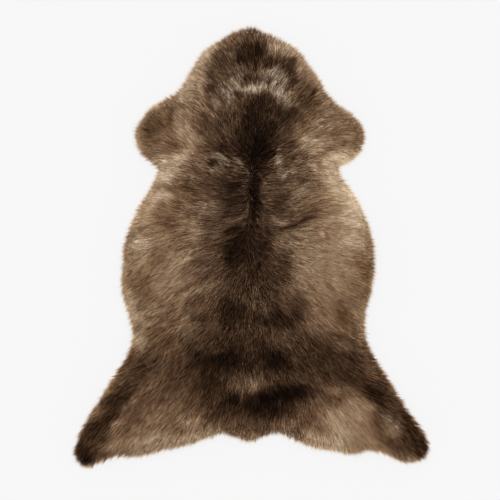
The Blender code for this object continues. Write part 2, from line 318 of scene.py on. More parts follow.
def combed(places):  # the way the wool lies at each place, as a unit vector
    total = np.zeros_like(places)
    for x, y, degrees in combRows:
        apart = ((places - (x, y)) ** 2).sum(axis=1)
        weight = np.exp(-apart / (2 * comb["spread"] ** 2))[:, None] + tiny
        total += weight * (math.cos(math.radians(degrees)), math.sin(math.radians(degrees)))
    total /= np.linalg.norm(total, axis=1)[:, None] + tiny
    parting = comb["parting"]
    bend = parting["bend"] * softNoise(places * (0, 1), parting["bendWidth"], parting["bendSeed"])
    line = parting["x"] + bend
    beside = np.exp(-((places[:, 0] - line) / parting["width"]) ** 2)
    beside *= np.clip((places[:, 1] - parting["low"]) / parting["fade"], 0, 1)
    beside *= np.clip((parting["high"] - places[:, 1]) / parting["fade"], 0, 1)
    total[:, 0] += parting["pull"] * beside * np.sign(places[:, 0] - line)
    outward = -readSlope(inwardSlope, places)
    outward /= np.linalg.norm(outward, axis=1)[:, None] + tiny
    near = np.clip(1 - read(insets, places) / comb["rimWidth"], 0, 1)
    pull = (comb["rimPull"] * near**2 * (3 - 2 * near))[:, None]
    total = total * (1 - pull) + outward * pull
    swirl = np.radians(comb["swirl"] * softNoise(places, comb["swirlWidth"], comb["swirlSeed"]))
    return turned(total / (np.linalg.norm(total, axis=1)[:, None] + tiny), swirl)


patchEdge = 1.6  # 1 fades a patch from its middle on, and more keeps its middle even


def painted(places, plain, patches):  # soft ovals of values, laid on in order like an airbrush
    values = np.tile(np.array(plain, float), (len(places), 1))
    for _, x, y, halfLength, halfWidth, turn, *inside in patches:
        c, s = math.cos(math.radians(turn)), math.sin(math.radians(turn))
        fromX, fromY = places[:, 0] - x, places[:, 1] - y
        away = ((fromX * c + fromY * s) / halfLength) ** 2 + ((fromY * c - fromX * s) / halfWidth) ** 2
        values += (inside - values) * np.exp(-away**patchEdge)[:, None]
    return values.T


# Where the wool differs from the rest: its length, how unlike its neighbours each hair is, and how much it
# hangs together in locks
pile = (
    # name, x, y, half length, half width, turn in degrees, length, unlikeness, locks
    ("head", 0.000, 0.400, 0.130, 0.090, 0, 0.80, 1.15, 1.0),
    ("brow", 0.010, 0.362, 0.090, 0.034, 0, 0.68, 1.6, 1.8),
    ("neck", 0.010, 0.275, 0.080, 0.070, 90, 0.60, 1.4, 1.0),
    ("temple, left", -0.132, 0.398, 0.080, 0.032, 59, 0.95, 0.65, 0.6),
    ("temple, right", 0.130, 0.400, 0.080, 0.030, -52, 0.95, 0.65, 0.6),
    ("back", 0.000, 0.100, 0.150, 0.130, 0, 1.00, 0.90, 1.0),
    ("nape", 0.005, 0.185, 0.100, 0.038, 0, 0.72, 1.5, 1.7),
    ("spine", 0.008, 0.128, 0.090, 0.026, 90, 0.65, 1.3, 1.0),
    ("shoulder, left", -0.210, 0.110, 0.065, 0.100, 0, 1.35, 0.50, 0.5),
    ("shoulder, right", 0.205, 0.095, 0.080, 0.115, 0, 1.40, 0.42, 0.4),
    ("flap, left", -0.200, 0.250, 0.075, 0.065, 0, 1.20, 0.55, 0.5),
    ("flap, right", 0.200, 0.250, 0.070, 0.065, 0, 1.20, 0.55, 0.5),
    ("ribs, left", -0.200, -0.040, 0.080, 0.100, 0, 1.15, 0.60, 0.6),
    ("flank, right", 0.180, -0.060, 0.080, 0.110, 0, 1.20, 0.42, 0.4),
    ("middle", 0.000, -0.090, 0.070, 0.120, 0, 0.72, 1.35, 0.8),
    ("loin", 0.000, -0.250, 0.130, 0.080, 0, 0.72, 1.25, 0.8),
    ("leg, left", -0.270, -0.400, 0.150, 0.060, 30, 1.20, 0.8, 0.7),
    ("leg, right", 0.240, -0.400, 0.120, 0.060, -20, 1.20, 0.4, 0.5),
    ("leg tip, left", -0.345, -0.405, 0.100, 0.040, 55, 1.10, 1.3, 0.7),
    ("leg tip, right", 0.350, -0.400, 0.090, 0.040, -55, 1.10, 1.3, 0.7),
)

# Locks: the wool hangs together in soft ridges, which run the way it is combed
locks = {
    "width": 0.009,
    "length": 0.034,
    "samples": 9,  # along a lock
    "rise": 0.0011,
    # the locks' own differing colour, also painted light and shade: paler on their raised tops and darker in
    # the hollows between them
    "tone": 0.036,
    "rimWidth": 0.016,
    "seed": 24,
}
planPlaces = np.stack(np.meshgrid(planX, planY), axis=2).reshape(-1, 2)
planWays = combed(planPlaces)
ridges = sum(softNoise(planPlaces + planWays * away, locks["width"], locks["seed"])
             for away in np.linspace(-0.5, 0.5, locks["samples"]) * locks["length"])
ridges *= painted(planPlaces, (1.0, 1.0, 1.0), pile)[2] / ridges.std()
ridges *= np.clip(read(insets, planPlaces) / locks["rimWidth"], 0, 1)
ridges = ridges.reshape(heights.shape)
smoothed = blurred(heights, 2 * plan["blurs"]) + locks["rise"] * ridges
pileSlope = np.gradient(smoothed, plan["step"])[::-1]
heights = np.where(insets > 0, heights + locks["rise"] * ridges, heights)


def pileNormal(places):  # straight out of the pile's surface at each place
    slope = readSlope(pileSlope, places)
    slope /= np.maximum(np.linalg.norm(slope, axis=1) / plan["steepest"], 1)[:, None]
    normal = np.column_stack([-slope, np.ones(len(places))])
    return normal / np.linalg.norm(normal, axis=1)[:, None]


# The coat's colours, mostly natural, with painted shade in creases and between locks, painted sheen on the
# brow and a painted glow at the rim. Tone 0 is near black and 1 the palest cream; warmth 0 is a silvery grey
# brown and 1 a reddish tan.
coat = {
    "tone": 0.53,
    "warmth": 0.50,
    "least": 0.30,  # how much of a change in tone even the darkest wool shows
    "most": 0.80,  # and the palest
    "wanders": (
        # of the patches' edges: how far, over what width, seed
        (0.004, 0.030, 21),
        (0.0022, 0.009, 26),
    ),
    "mottle": 0.026,
    "mottleWidth": 0.026,
    "mottleSeed": 23,
    # painted light: the thin outer edge is painted warmer, for the light that passes through it
    "paintedRimGlow": 0.06,  # the wool's thin outer edge lets light through and looks golden
    "rimWidth": 0.006,
    "patches": (
        # name, x, y, half length, half width, turn in degrees, tone, warmth
        ("back", -0.002, -0.032, 0.300, 0.123, 90, 0.25, 0.50),
        ("upper back", 0.007, 0.121, 0.120, 0.095, 0, 0.27, 0.45),
        ("loin", 0.000, -0.250, 0.250, 0.085, 0, 0.25, 0.52),
        ("loin, middle", 0.010, -0.255, 0.150, 0.060, 0, 0.18, 0.50),
        ("rump", -0.014, -0.335, 0.150, 0.065, 0, 0.20, 0.55),

        ("head", -0.005, 0.410, 0.085, 0.080, 0, 0.31, 0.50),
        ("crown", 0.002, 0.450, 0.034, 0.036, 0, 0.13, 0.48),
        ("crown, lower left", -0.018, 0.426, 0.020, 0.014, 30, 0.10, 0.50),
        ("crown, lower right", 0.046, 0.420, 0.038, 0.014, -4, 0.18, 0.50),
        ("crown, outer left", -0.060, 0.410, 0.018, 0.024, -30, 0.22, 0.50),
        ("crown edge", 0.004, 0.478, 0.052, 0.016, 0, 0.37, 0.45),
        ("crown rim", -0.005, 0.500, 0.034, 0.008, 0, 0.22, 0.60),
        ("crown spot", 0.002, 0.488, 0.012, 0.007, 0, 0.20, 0.50),
        ("temple, left", -0.134, 0.401, 0.068, 0.027, 59, 0.74, 0.36),
        ("temple top, left", -0.100, 0.440, 0.032, 0.018, 50, 0.76, 0.35),
        ("temple, inner left", -0.082, 0.376, 0.044, 0.019, 72, 0.31, 0.55),
        ("temple, right", 0.090, 0.448, 0.056, 0.024, -42, 0.67, 0.33),
        ("temple, lower right", 0.134, 0.388, 0.046, 0.022, -56, 0.66, 0.42),
        ("temple spot, right", 0.094, 0.398, 0.026, 0.016, -70, 0.13, 0.50),
        ("cheek, right", 0.116, 0.345, 0.042, 0.028, -70, 0.29, 0.60),
        ("cheek rim, right", 0.172, 0.346, 0.030, 0.010, -60, 0.44, 0.60),
        ("cheek spot, right", 0.137, 0.355, 0.012, 0.008, 0, 0.12, 0.45),

        ("neck", 0.020, 0.262, 0.088, 0.076, 90, 0.13, 0.50),
        ("neck top", 0.022, 0.322, 0.038, 0.018, 0, 0.10, 0.50),
        ("neck, left", -0.073, 0.285, 0.062, 0.036, 88, 0.28, 0.50),
        ("neck edge, left", -0.108, 0.262, 0.050, 0.011, 88, 0.31, 0.55),
        ("neck, lower left", -0.052, 0.226, 0.048, 0.018, 0, 0.15, 0.50),
        ("neck, right", 0.075, 0.310, 0.030, 0.020, -70, 0.16, 0.50),
        ("neck, outer right", 0.105, 0.282, 0.032, 0.020, -60, 0.26, 0.65),
        ("neck, lower right", 0.077, 0.248, 0.030, 0.020, -50, 0.26, 0.50),
        ("throat", 0.010, 0.240, 0.070, 0.030, 90, 0.06, 0.50),
        ("throat, lower", 0.018, 0.206, 0.046, 0.028, 0, 0.05, 0.50),
        ("throat foot", 0.011, 0.212, 0.030, 0.020, 90, 0.01, 0.50),
        ("jaw, right", 0.140, 0.314, 0.036, 0.026, -60, 0.32, 0.62),
        ("jaw, inner right", 0.112, 0.254, 0.026, 0.016, -60, 0.45, 0.55),
        ("jaw spot, right", 0.123, 0.328, 0.012, 0.007, 30, 0.18, 0.50),

        # partly painted highlight: the brow's pale silvery bands are the hair's pale tips with painted sheen
        # where the hair bends
        ("brow, upper left", -0.023, 0.399, 0.028, 0.010, -15, 0.40, 0.15),
        ("brow, upper right", 0.055, 0.387, 0.028, 0.017, 5, 0.59, 0.00),
        ("brow gap", 0.008, 0.382, 0.024, 0.007, -14, 0.21, 0.30),
        ("brow gap, left", -0.032, 0.352, 0.018, 0.012, 0, 0.19, 0.35),
        ("brow, left", -0.028, 0.374, 0.022, 0.009, -38, 0.54, 0.10),
        ("brow, middle", 0.020, 0.360, 0.042, 0.010, -4, 0.80, 0.00),
        ("brow, lower right", 0.066, 0.347, 0.024, 0.013, -38, 0.66, 0.00),
        ("brow tip, right", 0.086, 0.330, 0.014, 0.008, -60, 0.46, 0.10),
        ("brow, lower left", -0.050, 0.340, 0.020, 0.009, 78, 0.56, 0.10),
        ("brow, outer left", -0.076, 0.338, 0.024, 0.010, 60, 0.60, 0.10),

        ("flap, left", -0.205, 0.262, 0.062, 0.062, 0, 0.52, 0.50),
        ("flap rim, left", -0.256, 0.266, 0.060, 0.012, 92, 0.74, 0.55),
        ("flap top, left", -0.226, 0.316, 0.034, 0.013, 42, 0.68, 0.50),
        ("flap centre, left", -0.222, 0.272, 0.030, 0.036, 0, 0.36, 0.58),
        ("flap spot, left", -0.230, 0.264, 0.014, 0.014, 0, 0.29, 0.60),
        ("flap spot, inner left", -0.176, 0.284, 0.018, 0.022, 0, 0.28, 0.60),
        ("flap root, left", -0.148, 0.264, 0.040, 0.015, 90, 0.66, 0.45),
        ("flap, lower left", -0.178, 0.230, 0.022, 0.012, 0, 0.43, 0.65),
        ("flap foot, left", -0.225, 0.208, 0.030, 0.012, -38, 0.62, 0.55),
        ("under the flap, left", -0.180, 0.198, 0.040, 0.014, 18, 0.76, 0.40),
        ("notch, left", -0.190, 0.168, 0.032, 0.018, 10, 0.82, 0.28),
        ("flap, right", 0.200, 0.258, 0.058, 0.058, 0, 0.54, 0.48),
        ("flap band, right", 0.207, 0.264, 0.044, 0.010, 15, 0.45, 0.60),
        ("flap edge, right", 0.248, 0.257, 0.010, 0.034, 0, 0.50, 0.60),
        ("flap root, right", 0.162, 0.280, 0.026, 0.012, 10, 0.53, 0.40),
        ("flap root, lower right", 0.140, 0.232, 0.026, 0.018, 0, 0.72, 0.38),
        ("under the flap, right", 0.204, 0.203, 0.042, 0.020, 18, 0.94, 0.55),
        ("notch, right", 0.186, 0.170, 0.036, 0.022, 0, 0.77, 0.42),

        ("shoulder, left", -0.210, 0.120, 0.036, 0.028, 0, 0.80, 0.30),
        ("shoulder rim, left", -0.253, 0.072, 0.044, 0.016, 60, 0.74, 0.50),
        ("shoulder, inner left", -0.152, 0.122, 0.032, 0.014, -4, 0.37, 0.68),
        ("back, upper left", -0.128, 0.120, 0.024, 0.012, 0, 0.31, 0.58),
        ("back, outer left", -0.188, 0.068, 0.036, 0.024, 0, 0.43, 0.62),
        ("reddish spot, upper", -0.143, 0.128, 0.010, 0.008, 0, 0.26, 0.75),
        ("reddish spot, lower", -0.166, 0.098, 0.016, 0.010, 0, 0.32, 0.75),
        ("back band, left", -0.128, 0.034, 0.036, 0.013, 90, 0.61, 0.45),
        ("nape, outer left", -0.116, 0.186, 0.022, 0.032, 0, 0.38, 0.60),
        ("nape tuft, left", -0.075, 0.206, 0.018, 0.008, -5, 0.62, 0.10),
        ("nape tuft side, left", -0.062, 0.186, 0.022, 0.006, 70, 0.46, 0.10),
        ("nape tuft foot, left", -0.084, 0.160, 0.016, 0.008, 30, 0.44, 0.25),
        ("nape spot, left", -0.080, 0.190, 0.012, 0.009, 0, 0.06, 0.50),
        ("nape, middle", -0.034, 0.194, 0.020, 0.009, 90, 0.38, 0.20),
        ("nape, lower middle", -0.024, 0.160, 0.018, 0.014, 0, 0.36, 0.30),
        ("nape, right", 0.068, 0.204, 0.024, 0.010, 98, 0.54, 0.20),
        ("nape, lower right", 0.078, 0.170, 0.026, 0.012, 8, 0.60, 0.25),
        ("nape, outer right", 0.106, 0.194, 0.015, 0.013, 0, 0.36, 0.40),
        # painted shade in the crease, along with the wool's darker colour there
        ("nape crease, right", 0.052, 0.171, 0.018, 0.005, 28, 0.14, 0.50),
        ("nape spot, right", 0.096, 0.207, 0.010, 0.006, 30, 0.20, 0.60),
        ("nape spot, outer right", 0.117, 0.194, 0.010, 0.007, 20, 0.22, 0.65),

        ("upper back, left", -0.048, 0.128, 0.052, 0.040, 90, 0.19, 0.38),
        ("upper back spot, left", -0.041, 0.137, 0.014, 0.014, 0, 0.08, 0.40),
        ("upper back, outer left", -0.094, 0.088, 0.024, 0.026, 0, 0.47, 0.30),
        ("upper back, right", 0.052, 0.130, 0.038, 0.032, 0, 0.35, 0.35),
        ("upper back spot, right", 0.073, 0.104, 0.026, 0.012, 10, 0.19, 0.45),
        ("upper back, outer right", 0.117, 0.117, 0.026, 0.032, 0, 0.53, 0.30),
        ("upper back notch, right", 0.125, 0.148, 0.016, 0.009, 20, 0.22, 0.50),
        ("spine", 0.008, 0.128, 0.090, 0.016, 90, 0.04, 0.50),
        ("spine spot, left", -0.038, 0.064, 0.022, 0.013, 0, 0.37, 0.35),
        ("back spot, left", -0.075, 0.025, 0.016, 0.022, 0, 0.38, 0.38),
        # painted shade in the crease, along with the wool's darker colour there
        ("back crease, left", -0.043, 0.041, 0.019, 0.009, 15, 0.02, 0.50),
        ("back, left", -0.102, -0.027, 0.026, 0.020, 0, 0.33, 0.45),
        ("middle back", -0.009, 0.002, 0.060, 0.050, 0, 0.11, 0.50),
        ("middle back, left", -0.039, -0.016, 0.022, 0.026, 0, 0.05, 0.50),
        ("middle back, right", 0.070, 0.012, 0.024, 0.024, 0, 0.46, 0.38),
        ("middle back, lower", -0.002, -0.073, 0.045, 0.045, 0, 0.16, 0.50),
        ("shoulder, right", 0.230, 0.094, 0.070, 0.028, -64, 0.92, 0.42),
        ("shoulder, upper right", 0.198, 0.144, 0.036, 0.036, 0, 0.78, 0.42),
        ("shoulder, middle right", 0.188, 0.078, 0.024, 0.020, 0, 0.63, 0.44),
        ("shoulder, lower right", 0.222, 0.066, 0.026, 0.018, 0, 0.80, 0.40),
        ("shoulder, inner right", 0.139, 0.094, 0.022, 0.022, 0, 0.41, 0.65),
        ("shoulder spot, right", 0.070, 0.063, 0.022, 0.013, 8, 0.63, 0.25),
        ("ribs, inner right", 0.120, 0.016, 0.048, 0.026, 0, 0.56, 0.42),
        ("ribs, right", 0.214, 0.008, 0.046, 0.040, 0, 0.71, 0.38),
        # painted shade in the crease, along with the wool's darker colour there
        ("shoulder crease", 0.112, 0.060, 0.048, 0.007, 18, 0.17, 0.55),

        ("ribs, left", -0.254, 0.008, 0.026, 0.028, 0, 0.69, 0.38),
        ("ribs, lower left", -0.256, -0.023, 0.024, 0.018, 0, 0.68, 0.45),
        ("ribs, middle left", -0.172, -0.006, 0.034, 0.028, 0, 0.56, 0.45),
        ("ribs, inner left", -0.214, -0.036, 0.020, 0.014, 0, 0.48, 0.58),
        ("flank ridge, left", -0.162, -0.040, 0.044, 0.014, 38, 0.66, 0.40),
        ("flank, left", -0.190, -0.078, 0.034, 0.020, 20, 0.57, 0.42),
        ("flank, outer left", -0.238, -0.088, 0.024, 0.032, 0, 0.46, 0.66),
        ("ribs rim, left", -0.282, -0.056, 0.046, 0.010, 92, 0.66, 0.78),
        ("waist rim, left", -0.266, -0.136, 0.048, 0.013, 110, 0.79, 0.45),
        ("waist, left", -0.250, -0.206, 0.022, 0.022, 0, 0.71, 0.40),
        ("flank streaks, left", -0.094, -0.101, 0.036, 0.013, 25, 0.45, 0.32),
        ("flank tuft, left", -0.137, -0.105, 0.024, 0.010, 25, 0.58, 0.45),
        ("flank, inner left", -0.108, -0.122, 0.030, 0.018, 30, 0.33, 0.48),
        ("flank, lower left", -0.162, -0.130, 0.028, 0.016, 30, 0.54, 0.50),
        ("back, outer lower left", -0.106, -0.152, 0.034, 0.030, 0, 0.24, 0.50),
        # painted shade in the crease, along with the wool's darker colour there
        ("flank crease, left", -0.153, -0.150, 0.030, 0.006, 30, 0.34, 0.55),
        ("waist, inner left", -0.204, -0.185, 0.040, 0.028, 20, 0.37, 0.65),
        ("waist spot, left", -0.166, -0.202, 0.026, 0.020, 0, 0.44, 0.50),

        ("flank, right", 0.137, -0.046, 0.042, 0.056, 0, 0.65, 0.40),
        ("flank, outer right", 0.200, -0.060, 0.030, 0.044, 0, 0.66, 0.40),
        ("flank foot, right", 0.104, -0.101, 0.028, 0.016, 0, 0.36, 0.50),
        ("flank diagonal, right", 0.196, -0.110, 0.052, 0.010, -58, 0.46, 0.50),
        ("flank rim, right", 0.258, -0.056, 0.046, 0.022, 90, 0.47, 0.78),
        ("flank, lower right", 0.157, -0.150, 0.034, 0.038, 0, 0.50, 0.50),
        ("waist, right", 0.212, -0.160, 0.022, 0.036, 0, 0.38, 0.70),
        ("waist rim, right", 0.248, -0.160, 0.044, 0.012, 90, 0.58, 0.62),
        # painted shade in the crease, along with the wool's darker colour there
        ("haunch crease, right", 0.190, -0.204, 0.040, 0.010, -8, 0.27, 0.60),

        ("back, lower left", -0.043, -0.146, 0.034, 0.034, 0, 0.09, 0.50),
        ("back, lower", 0.016, -0.118, 0.018, 0.026, 0, 0.28, 0.50),
        ("back, lower middle", 0.018, -0.166, 0.024, 0.014, 0, 0.14, 0.50),
        ("back, outer lower right", 0.112, -0.130, 0.022, 0.024, 0, 0.30, 0.50),
        ("back, lower right", 0.075, -0.159, 0.044, 0.026, 0, 0.13, 0.50),
        ("loin, upper left", -0.048, -0.191, 0.024, 0.016, 0, 0.19, 0.50),
        ("loin, upper right", 0.066, -0.205, 0.030, 0.018, 0, 0.36, 0.52),
        ("haunch, upper left", -0.196, -0.226, 0.050, 0.026, 0, 0.32, 0.68),
        ("haunch, left", -0.166, -0.285, 0.065, 0.040, 10, 0.26, 0.58),
        ("haunch wedge, left", -0.264, -0.224, 0.024, 0.015, 50, 0.78, 0.42),
        ("loin, left", -0.071, -0.257, 0.062, 0.028, 0, 0.03, 0.50),
        ("loin, right", 0.068, -0.257, 0.046, 0.020, 0, 0.05, 0.50),
        ("loin, outer right", 0.184, -0.248, 0.096, 0.032, -12, 0.21, 0.50),
        ("rump ridge", -0.008, -0.308, 0.050, 0.020, 0, 0.41, 0.45),
        ("rump ridge, right", 0.060, -0.294, 0.030, 0.010, 8, 0.24, 0.50),
        ("rump, left", -0.089, -0.320, 0.044, 0.050, 0, 0.14, 0.55),
        ("leg, upper left", -0.157, -0.345, 0.046, 0.018, 0, 0.29, 0.58),
        ("rump, lower", -0.040, -0.382, 0.080, 0.020, 0, 0.18, 0.55),
        ("tail", 0.006, -0.412, 0.064, 0.012, 0, 0.26, 0.62),
        ("tail, right", 0.062, -0.416, 0.036, 0.012, 4, 0.44, 0.60),
        ("tail edge", 0.022, -0.431, 0.085, 0.009, 0, 0.50, 0.78),
        ("rump streak", 0.082, -0.336, 0.078, 0.024, 16, 0.03, 0.50),
        ("rump streak, left", 0.040, -0.369, 0.050, 0.016, 0, 0.07, 0.50),
        ("rump, middle", -0.030, -0.352, 0.036, 0.016, 0, 0.05, 0.50),

        ("leg, left", -0.196, -0.392, 0.090, 0.038, 10, 0.44, 0.54),
        ("leg, inner left", -0.232, -0.338, 0.036, 0.018, 20, 0.31, 0.60),
        ("leg fold, left", -0.262, -0.374, 0.026, 0.018, 45, 0.31, 0.58),
        ("hem, left", -0.168, -0.440, 0.085, 0.015, 14, 0.75, 0.55),
        ("leg, lower left", -0.210, -0.432, 0.032, 0.018, 5, 0.64, 0.45),
        ("leg spot, left", -0.142, -0.387, 0.022, 0.016, 0, 0.68, 0.48),
        ("leg, outer left", -0.292, -0.432, 0.034, 0.024, 30, 0.47, 0.52),
        ("leg band, upper left", -0.256, -0.288, 0.048, 0.024, 52, 0.23, 0.58),
        ("leg band, left", -0.303, -0.345, 0.050, 0.027, 50, 0.15, 0.60),
        ("leg band, lower left", -0.350, -0.405, 0.052, 0.026, 56, 0.13, 0.62),
        ("haunch rim, left", -0.290, -0.272, 0.050, 0.012, 58, 0.28, 0.82),
        ("leg rim, left", -0.345, -0.352, 0.066, 0.009, 54, 0.44, 0.85),
        ("leg foot, left", -0.345, -0.474, 0.026, 0.012, 15, 0.30, 0.60),
        ("leg tip, left", -0.380, -0.462, 0.042, 0.036, 60, 0.14, 0.60),
        ("leg tip rim, left", -0.386, -0.488, 0.030, 0.012, 0, 0.05, 0.50),

        ("leg, right", 0.214, -0.402, 0.050, 0.042, 0, 0.61, 0.42),
        ("leg, lower right", 0.203, -0.424, 0.024, 0.020, 0, 0.72, 0.35),
        ("hem, right", 0.182, -0.452, 0.070, 0.014, -5, 0.80, 0.50),
        ("hem, inner right", 0.154, -0.436, 0.036, 0.014, -20, 0.70, 0.52),
        ("haunch, inner right", 0.130, -0.378, 0.026, 0.030, 0, 0.31, 0.62),
        ("haunch, right", 0.191, -0.340, 0.048, 0.014, -5, 0.31, 0.60),
        ("leg, outer right", 0.290, -0.394, 0.018, 0.038, 0, 0.33, 0.62),
        ("leg, lower outer right", 0.262, -0.440, 0.030, 0.018, 10, 0.64, 0.55),
        ("leg foot, right", 0.328, -0.442, 0.030, 0.016, -30, 0.27, 0.60),
        ("leg band, right", 0.225, -0.294, 0.120, 0.028, -18, 0.20, 0.55),
        ("leg band spot, right", 0.286, -0.336, 0.052, 0.022, -38, 0.12, 0.50),
        ("rump line, right", 0.152, -0.303, 0.050, 0.005, -3, 0.28, 0.50),
        ("haunch rim, right", 0.298, -0.270, 0.070, 0.013, -61, 0.22, 0.80),
        ("leg band, lower right", 0.358, -0.405, 0.060, 0.024, -58, 0.13, 0.58),
        ("leg tip, right", 0.380, -0.449, 0.042, 0.034, -50, 0.14, 0.60),
        ("leg tip rim, right", 0.402, -0.438, 0.030, 0.012, -75, 0.08, 0.50),
        ("leg foot rim, right", 0.352, -0.482, 0.038, 0.012, -8, 0.50, 0.62),
        ("leg tuft, right", 0.322, -0.397, 0.024, 0.009, -72, 0.50, 0.20),
    ),
}


def swing(tone):  # how much of a change in tone wool of that tone shows
    return np.clip(coat["least"] + tone, 0, coat["most"])


def coatAt(places):  # tone and warmth of the coat at each place
    moved = places
    for far, width, seed in coat["wanders"]:
        moved = moved + far * np.column_stack([softNoise(places, width, seed + k) for k in (0, 1)])
    tone, warmth = painted(moved, (coat["tone"], coat["warmth"]), coat["patches"])
    mottle = coat["mottle"] * softNoise(places, coat["mottleWidth"], coat["mottleSeed"])
    # random mottle, and the locks' colour with painted light and shade: paler on the ridges and darker
    # between them
    tone = tone + swing(tone) * (mottle + locks["tone"] * read(ridges, places))
    # painted light: a warmer glow painted along the rim
    warmth = warmth + coat["paintedRimGlow"] * nearRim(places, coat["rimWidth"])
    return tone, np.clip(warmth, 0, 1)


def coatColour(tree, tone, warmth):  # the colour of the wool, from its tone and warmth
    silver = addNode(tree, "ShaderNodeValToRGB", links={0: tone}, stops=(
        (0.0, "#020101"), (1.0, "#F6E9D8"), (0.10, "#1A110D"), (0.25, "#3C2F25"),
        (0.45, "#6B594A"), (0.62, "#93806E"), (0.80, "#BBAB96")))
    tan = addNode(tree, "ShaderNodeValToRGB", links={0: tone}, stops=(
        (0.0, "#030201"), (1.0, "#FDE7C7"), (0.10, "#201208"), (0.25, "#462F1C"),
        (0.45, "#77573B"), (0.62, "#9F7D59"), (0.80, "#C5A880")))
    mixed = addNode(tree, "ShaderNodeMix", data_type="RGBA",
                    links={0: warmth, 6: silver.outputs[0], 7: tan.outputs[0]})
    return mixed.outputs[2]


# Wool: natural brown sheep's wool, washed and combed out. Each hair is a smooth keratin fibre, so it has a
# broad, soft gleam along its length and no sharp highlight. Hairs differ, and each is painted darker towards
# the skin as painted shade deep in the pile.
def woolMaterial():
    material, tree = newMaterial("combed brown wool")
    tone, warmth, along = (addNode(tree, "ShaderNodeAttribute", attribute_name=label).outputs["Fac"]
                           for label in ("tone", "warmth", "along"))
    coloured = coatColour(tree, tone, warmth)
    # painted shade: each strand is darkened towards its root, where shade falls deep in the pile
    shade = addNode(tree, "ShaderNodeValToRGB", links={0: along}, stops=(
        (0.0, "#544B44"), (1.0, "#FFFFFF"), (0.38, "#B8AFA6"), (0.80, "#F4F0EC")))
    shaded = addNode(tree, "ShaderNodeMix", data_type="RGBA", blend_type="MULTIPLY",
                     links={6: coloured, 7: shade.outputs[0]}, values={0: 1.0})
    shader = addNode(tree, "ShaderNodeBsdfPrincipled", links={"Base Color": shaded.outputs[2]},
                     values={"Roughness": 0.55, "IOR": 1.55, "Specular IOR Level": 0.01})
    addNode(tree, "ShaderNodeOutputMaterial", links={0: shader.outputs[0]})
    return material


wool = woolMaterial()

# The cell that each strand has on the map for baking
cell = {
    "tall": 1.6,  # times its width
    "side": 0.1,  # left free at each side
    "end": 0.04,  # and above and below
}


# Pointed strands, each a closed sliver of four faces: widest at the bend, flat above and keeled below.
# Roots, bends and tips are places, one a strand. Light falls on them as on the pile that they lie in, so
# that together they look soft, with some unevenness of their own and a little roundness across.
def strandMesh(name, roots, bends, tips, radii, leans, spec, points):
    count = len(roots)
    ways = tips - roots
    ways[:, 2] = 0
    ways /= np.linalg.norm(ways, axis=1)[:, None] + tiny
    aside = np.cross(ways, (0.0, 0.0, 1.0))
    places = np.stack([roots, bends - aside * radii[:, None], bends + aside * radii[:, None], tips], axis=1)
    each = places.shape[1]
    root, left, right, tip = range(each)
    faces = ((root, right, left), (tip, left, right), (root, left, tip), (root, tip, right))
    normals = np.stack([pileNormal(places[:, k, :2]) + leans for k in range(each)], axis=1)
    normals[:, left] -= aside * spec["roundness"]
    normals[:, right] += aside * spec["roundness"]
    normals /= np.linalg.norm(normals, axis=2)[..., None]

    corner = np.array(faces).ravel()
    mesh = bpy.data.meshes.new(name)
    mesh.vertices.add(count * each)
    mesh.vertices.foreach_set("co", places.astype(np.float32).ravel())
    mesh.loops.add(count * len(corner))
    first = np.arange(count)[:, None]
    mesh.loops.foreach_set("vertex_index", (first * each + corner).astype(np.int32).ravel())
    mesh.polygons.add(count * len(faces))
    mesh.polygons.foreach_set("loop_start", np.arange(0, count * len(corner), 3).astype(np.int32))
    mesh.update(calc_edges=True)
    mesh.shade_smooth()
    mesh.normals_split_custom_set_from_vertices(normals.reshape(-1, 3).tolist())

    side, end = cell["side"], cell["end"]
    bendHeight = end + (1 - 2 * end) * spec["bend"]
    spots = {root: (0.5, end), left: (side, bendHeight), right: (1 - side, bendHeight), tip: (0.5, 1 - end)}
    flat = np.array([spots[k] for k in corner])
    columns = math.ceil(math.sqrt(count * cell["tall"]))
    rows = math.ceil(count / columns)
    starts = np.stack([np.arange(count) % columns, np.arange(count) // columns], axis=1)[:, None]
    layer = mesh.uv_layers.new(name="OFBake")
    layer.uv.foreach_set("vector", ((starts + flat) / (columns, rows)).astype(np.float32).ravel())
    for label, (rootValue, bendValue, tipValue) in points.items():
        values = np.zeros((count, each))
        for k, value in ((root, rootValue), (left, bendValue), (right, bendValue), (tip, tipValue)):
            values[:, k] = value
        setValues(mesh, label, values)
    return mesh


